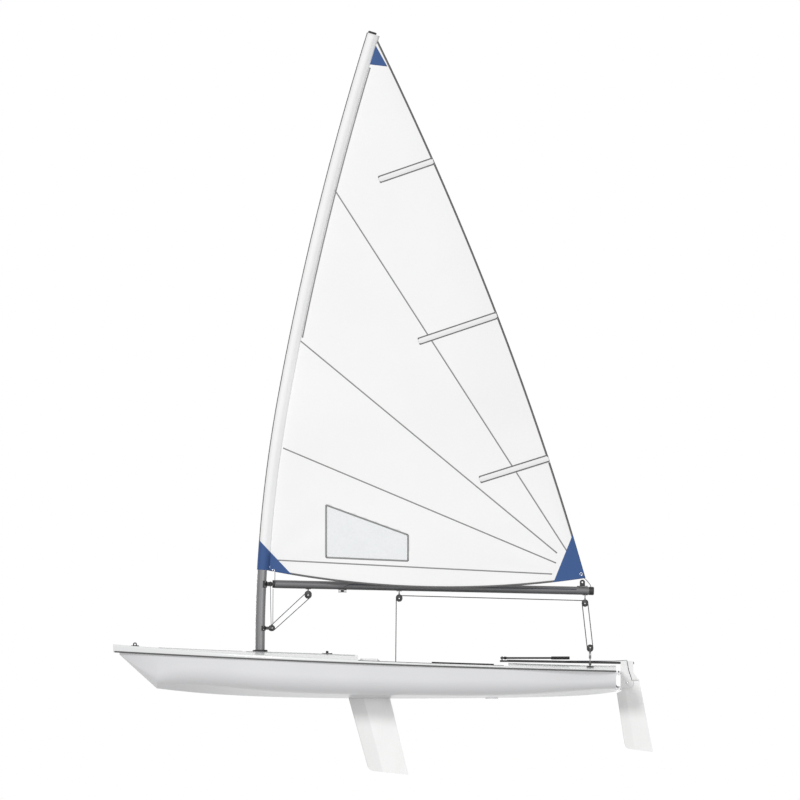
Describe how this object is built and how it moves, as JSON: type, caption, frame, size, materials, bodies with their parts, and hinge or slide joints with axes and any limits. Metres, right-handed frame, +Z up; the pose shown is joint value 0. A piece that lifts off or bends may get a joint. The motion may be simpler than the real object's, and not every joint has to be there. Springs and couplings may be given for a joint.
{
  "type": "sailing dinghy",
  "caption": "Single-handed sailing dinghy afloat: hull with cockpit, unstayed bent mast in a sail sleeve, boom, daggerboard, lifting rudder and tiller.",
  "frame": {"origin": "on the centreline, half way along the hull, at the waterline", "axes": "+X towards the stern, +Y to starboard, +Z up"},
  "size_m": [4.509, 1.3914, 6.2156],
  "materials": {
    "hull_gelcoat": "light grey gelcoat, gloss",
    "deck_gelcoat": "white gelcoat with non-slip panels",
    "sailcloth": "white woven sailcloth",
    "patch_cloth": "blue reinforcing cloth",
    "window_film": "clear film",
    "spar_alloy": "anodised, satin",
    "black_plastic": "black moulded plastic",
    "foil_gelcoat": "white gelcoat, gloss",
    "stainless": "stainless, satin",
    "rope": "braided line",
    "rubber": "black rubber",
    "strap_webbing": "black webbing"
  },
  "bodies": {
    "hull": {"hull_shell": "hull_gelcoat", "deck_moulding": "deck_gelcoat", "mast_step_ring": "black_plastic", "bow_eye": "black_plastic", "deck_cleats": "black_plastic", "grab_rails": "black_plastic", "toe_strap": "strap_webbing", "ratchet_block": "black_plastic", "self_bailer": "stainless", "drain_plug": "black_plastic", "gudgeons": "stainless", "traveller_fairleads": "black_plastic", "traveller_line": "rope", "traveller_block": "black_plastic", "sheet_lower_block": "black_plastic"},
    "rig": {"mast_lower": "spar_alloy", "mast_upper": "spar_alloy", "mast_collar": "black_plastic", "mast_cap": "black_plastic", "luff_sleeve": "sailcloth", "sail": "sailcloth", "batten_pockets": "sailcloth", "corner_patches": "patch_cloth", "sail_window": "window_film", "gooseneck": "black_plastic", "boom": "spar_alloy", "boom_end_cap": "black_plastic", "outhaul_fitting": "black_plastic", "outhaul_cleat": "black_plastic", "boom_mid_block": "black_plastic", "boom_aft_block": "black_plastic", "vang_boom_block": "black_plastic", "vang_tang": "black_plastic", "vang_mast_block": "black_plastic"},
    "daggerboard": {"daggerboard": "foil_gelcoat", "daggerboard_stop": "black_plastic"},
    "rudder": {"rudder_head": "spar_alloy", "pintles": "stainless", "tiller": "spar_alloy", "tiller_joint": "rubber"},
    "rudder_blade": {"rudder_blade": "foil_gelcoat"},
    "tiller_extension": {"extension_tube": "spar_alloy", "extension_grip": "rubber"}
  },
  "joints": [
    {"name": "rig_swing", "type": "hinge", "parent": "hull", "child": "rig", "pos_m": [-0.873, 0, 0.3], "axis": [0, 0, 1], "range_deg": [-90, 90]},
    {"name": "daggerboard_lift", "type": "slide", "parent": "hull", "child": "daggerboard", "axis": [-0.2672, 0, 0.9636], "range_m": [0, 0.5]},
    {"name": "rudder_turn", "type": "hinge", "parent": "hull", "child": "rudder", "pos_m": [2.125, 0, 0.1], "axis": [0, 0, 1], "range_deg": [-35, 35]},
    {"name": "blade_lift", "type": "hinge", "parent": "rudder", "child": "rudder_blade", "pos_m": [2.192, 0, 0.045], "axis": [0, -1, 0], "range_deg": [0, 90]},
    {"name": "extension_swing", "type": "hinge", "parent": "rudder", "child": "tiller_extension", "pos_m": [1.148, 0, 0.251], "axis": [0, 0, 1], "range_deg": [-165, 165]}
  ]
}
